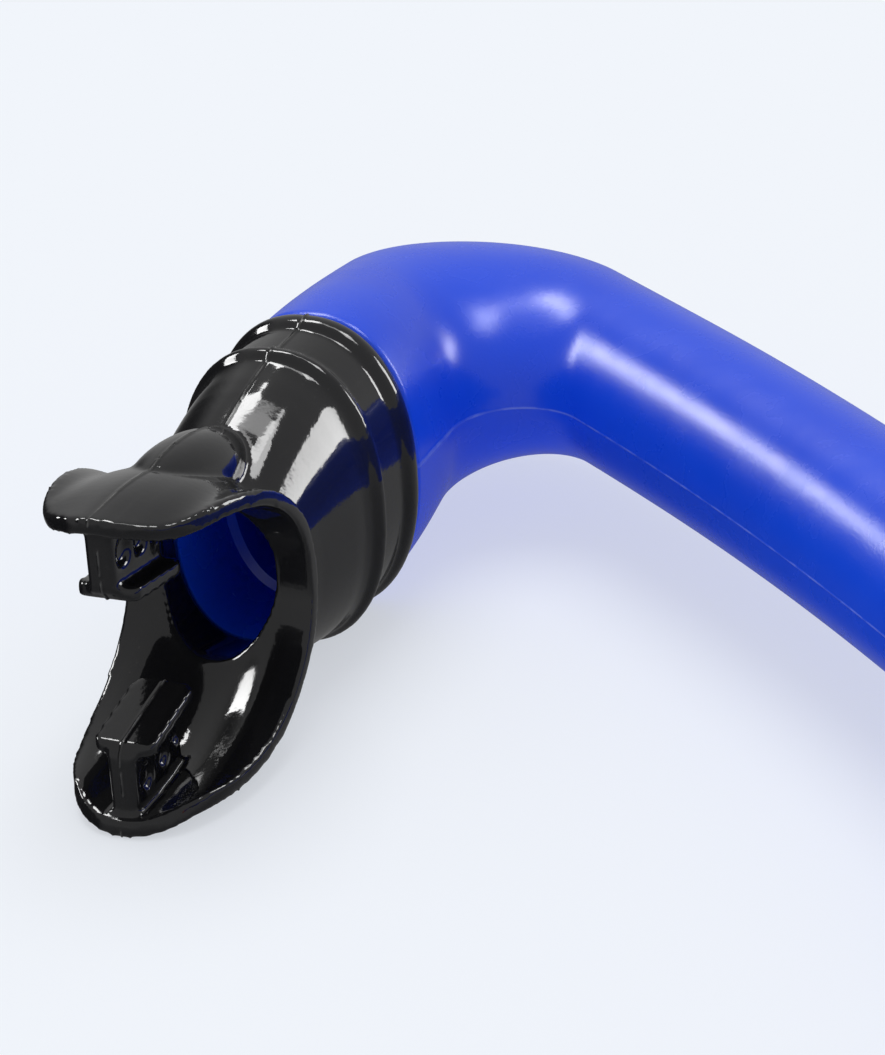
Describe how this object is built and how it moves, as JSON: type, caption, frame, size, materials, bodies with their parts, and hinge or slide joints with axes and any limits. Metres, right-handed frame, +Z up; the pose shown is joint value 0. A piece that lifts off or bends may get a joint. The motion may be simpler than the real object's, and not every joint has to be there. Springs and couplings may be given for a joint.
{
  "type": "snorkel tube",
  "caption": "J-shaped snorkel: round barrel widening to an oval spigot, soft mouthpiece with bite tabs, signal band and a swivel strap keeper.",
  "frame": {"origin": "middle of the footprint, on the surface the snorkel lies on", "axes": "+Z up, square to the plane of the J within 1 degree; the mouthpiece faces -Y and the long leg runs towards +X and -Y"},
  "size_m": [0.2486, 0.2556, 0.0415],
  "materials": {
    "barrel_blue": "satin moulded plastic",
    "mouthpiece_black": "glossy moulded rubber",
    "signal_orange": "matt",
    "keeper_black": "satin"
  },
  "bodies": {
    "barrel": {"barrel": "barrel_blue", "signal_band": "signal_orange"},
    "mouthpiece": {"mouthpiece": "mouthpiece_black"},
    "keeper_sleeve": {"keeper_sleeve": "keeper_black"},
    "strap_clip": {"strap_clip": "keeper_black"}
  },
  "joints": [
    {"name": "mouthpiece_pull", "type": "slide", "parent": "barrel", "child": "mouthpiece", "axis": [0.0001, -1, 0.0079], "range_m": [0, 0.027]},
    {"name": "keeper_slide", "type": "slide", "parent": "barrel", "child": "keeper_sleeve", "axis": [0.6001, -0.7999, 0.0011], "range_m": [-0.03, 0.052]},
    {"name": "clip_turn", "type": "hinge", "parent": "keeper_sleeve", "child": "strap_clip", "pos_m": [0.05502, -0.04095, 0.01971], "axis": [0.6001, -0.7999, 0.0011], "continuous": true}
  ]
}
